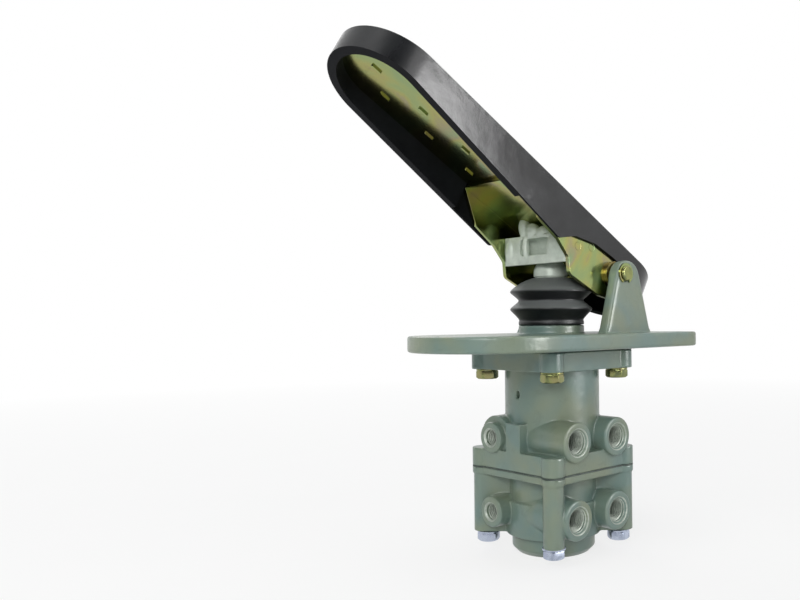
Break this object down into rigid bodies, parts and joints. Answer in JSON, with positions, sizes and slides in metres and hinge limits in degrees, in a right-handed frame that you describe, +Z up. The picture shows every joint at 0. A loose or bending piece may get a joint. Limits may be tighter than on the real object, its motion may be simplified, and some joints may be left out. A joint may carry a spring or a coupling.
{
  "type": "foot brake valve",
  "caption": "Dual circuit foot brake valve: a rubber covered treadle hinged on a floor plate presses a booted plunger, with a ported cast valve body hanging below.",
  "frame": {"origin": "on the valve's axis, in the underside of the mounting plate, which rests on the floor", "axes": "+Z up along the valve's axis; +X to the plate's round toe end and the pedal's toe; +Y to the side with the large ports"},
  "size_m": [0.2596, 0.105, 0.3096],
  "materials": {
    "cast_paint": "satin grey-green paint over a sand casting",
    "black_rubber": "moulded black rubber, satin",
    "zinc_plate": "yellow passivated zinc on pressed steel",
    "cast_aluminium": "cast and turned aluminium",
    "yellow_zinc": "yellow zinc on turned steel",
    "blue_zinc": "blue zinc on turned steel",
    "bright_steel": "ground steel",
    "spring_steel": "oiled spring steel",
    "bronze": "sintered bronze",
    "valve_rubber": "rubber faced valve",
    "seal_rubber": "seal ring",
    "gasket_sheet": "fibre sheet"
  },
  "bodies": {
    "housing": {"mounting_plate": "cast_paint", "plunger_guide": "bronze", "hinge_pin": "yellow_zinc", "pin_clips": "zinc_plate", "boot": "black_rubber", "plate_gasket": "gasket_sheet", "upper_body": "cast_paint", "flange_bolts": "yellow_zinc", "flange_washers": "yellow_zinc", "body_gasket": "gasket_sheet", "lower_body": "cast_paint", "body_bolts": "blue_zinc", "body_washers": "blue_zinc", "primary_valve_guide": "cast_aluminium", "primary_guide_ring": "spring_steel", "primary_return_spring": "spring_steel", "primary_valve_spring": "spring_steel", "relay_return_spring": "spring_steel", "secondary_valve_spring": "spring_steel", "exhaust_guide": "cast_aluminium", "exhaust_guide_seal": "seal_rubber", "exhaust_plate": "blue_zinc", "retaining_ring": "spring_steel", "exhaust_flap": "black_rubber", "flap_screw": "blue_zinc"},
    "pedal": {"tread_rubber": "black_rubber", "pedal_pan": "zinc_plate", "hinge_bracket": "zinc_plate", "pressure_bridge": "cast_aluminium", "bridge_rivets": "zinc_plate", "roller_pin": "bright_steel", "pivot_bushes": "bronze"},
    "roller": {"roller": "bright_steel"},
    "plunger": {"plunger": "cast_aluminium", "spring_cup": "bright_steel", "graduating_spring": "spring_steel"},
    "primary_piston": {"primary_piston": "cast_aluminium", "primary_piston_seal": "seal_rubber"},
    "primary_valve": {"primary_valve": "valve_rubber"},
    "relay_piston": {"relay_piston": "cast_aluminium", "relay_piston_seal": "seal_rubber"},
    "secondary_valve": {"secondary_valve": "valve_rubber"}
  },
  "joints": [
    {"name": "pedal_hinge", "type": "hinge", "parent": "housing", "child": "pedal", "pos_m": [-0.026, 0, 0.0492], "axis": [0, 1, 0], "range_deg": [0, 20], "stiffness_Nm_per_rad": 25, "springref_deg": -6.88},
    {"name": "roller_turn", "type": "hinge", "parent": "pedal", "child": "roller", "pos_m": [-0.0019, 0, 0.0653], "axis": [0, 1, 0], "range_deg": [0, 17]},
    {"name": "plunger_slide", "type": "slide", "parent": "housing", "child": "plunger", "axis": [0, 0, -1], "range_m": [0, 0.01052], "deforming": ["boot", "graduating_spring"]},
    {"name": "primary_piston_slide", "type": "slide", "parent": "housing", "child": "primary_piston", "axis": [0, 0, -1], "range_m": [0, 0.00342], "deforming": ["primary_return_spring"]},
    {"name": "primary_valve_slide", "type": "slide", "parent": "housing", "child": "primary_valve", "axis": [0, 0, -1], "range_m": [0, 0.00222], "deforming": ["primary_valve_spring"]},
    {"name": "relay_piston_slide", "type": "slide", "parent": "housing", "child": "relay_piston", "axis": [0, 0, -1], "range_m": [0, 0.00342], "deforming": ["relay_return_spring"]},
    {"name": "secondary_valve_slide", "type": "slide", "parent": "housing", "child": "secondary_valve", "axis": [0, 0, -1], "range_m": [0, 0.00222], "deforming": ["secondary_valve_spring"]}
  ],
  "couplings": [
    {"joint": "roller_turn", "follows": "pedal_hinge", "ratio": 0.81},
    {"joint": "plunger_slide", "follows": "pedal_hinge", "m_per_rad": 0.03008},
    {"joint": "primary_piston_slide", "follows": "pedal_hinge", "m_per_rad": 0.00974},
    {"joint": "primary_valve_slide", "follows": "pedal_hinge", "m_per_rad": 0.006303},
    {"joint": "relay_piston_slide", "follows": "pedal_hinge", "m_per_rad": 0.00974},
    {"joint": "secondary_valve_slide", "follows": "pedal_hinge", "m_per_rad": 0.006303}
  ]
}
